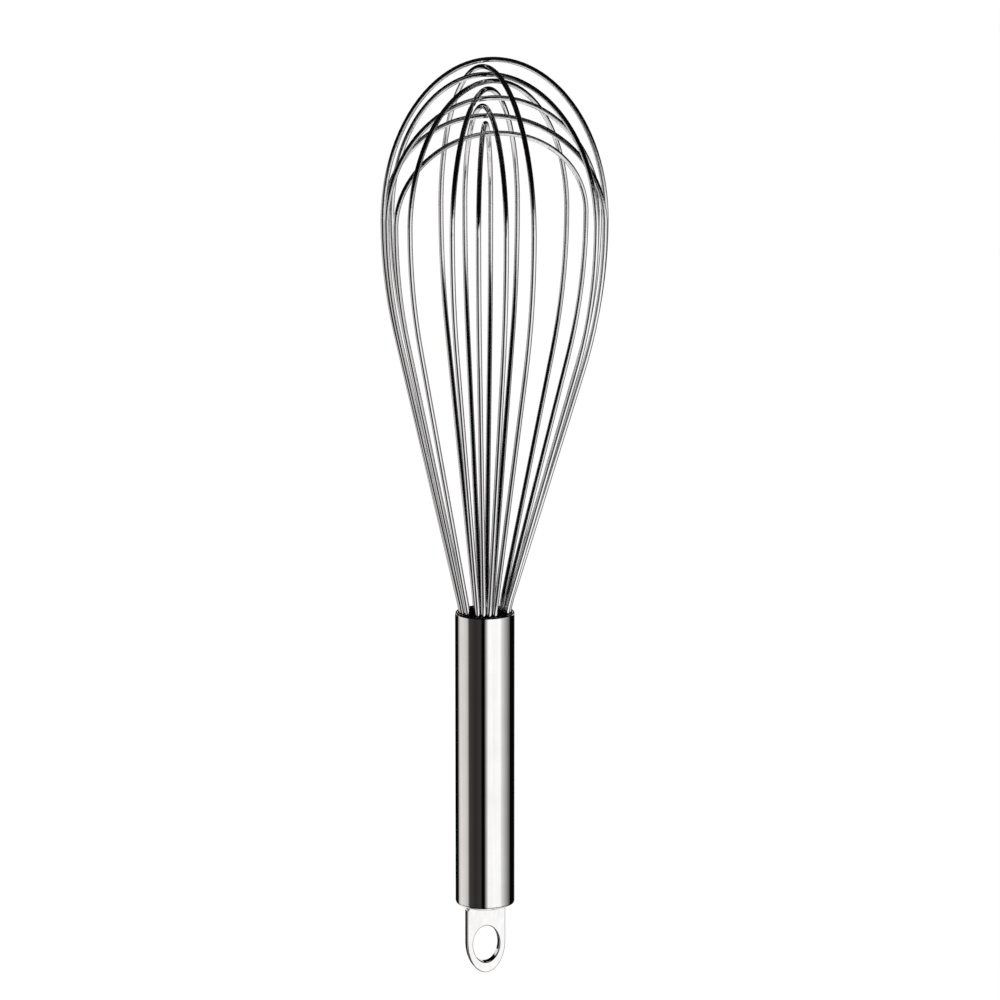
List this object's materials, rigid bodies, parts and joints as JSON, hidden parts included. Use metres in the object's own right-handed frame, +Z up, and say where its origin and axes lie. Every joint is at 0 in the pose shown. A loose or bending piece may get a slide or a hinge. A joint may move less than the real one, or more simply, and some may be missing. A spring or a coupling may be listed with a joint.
{
  "type": "balloon whisk",
  "caption": "Balloon whisk: nested spring-wire loops fan out of a straight round tubular handle that has a flat hanging loop fixed to its lower end cap.",
  "frame": {"origin": "on the handle's axis at the lower end of the handle tube, where the end cap seats", "axes": "+Z up the handle towards the wire cage; +X to the side on which the wire cage bulges most; +Y completes a right-handed frame, and the hanging loop's plate is turned 16 degrees from the XZ plane about +Z"},
  "size_m": [0.0747, 0.075, 0.3107],
  "materials": {
    "handle_steel": "mirror-polished stainless steel tube",
    "fitting_steel": "polished stainless steel, cap and hanging loop",
    "wire_steel": "bright drawn stainless spring wire",
    "inner_steel": "plain turned steel, out of sight",
    "filler_metal": "dull set filler metal",
    "sealant": "dark grey set sealing compound"
  },
  "bodies": {
    "root": {"handle_tube": "handle_steel", "end_cap": "fitting_steel", "hanging_loop": "fitting_steel", "loop_braze": "filler_metal", "wire_core": "inner_steel", "wire_clamp_ring": "inner_steel", "mouth_sealant": "sealant", "wire_loop_01": "wire_steel", "wire_loop_02": "wire_steel", "wire_loop_03": "wire_steel", "wire_loop_04": "wire_steel", "wire_loop_05": "wire_steel", "wire_loop_06": "wire_steel", "wire_loop_07": "wire_steel", "wire_loop_08": "wire_steel", "wire_loop_09": "wire_steel", "wire_loop_10": "wire_steel"}
  },
  "joints": []
}
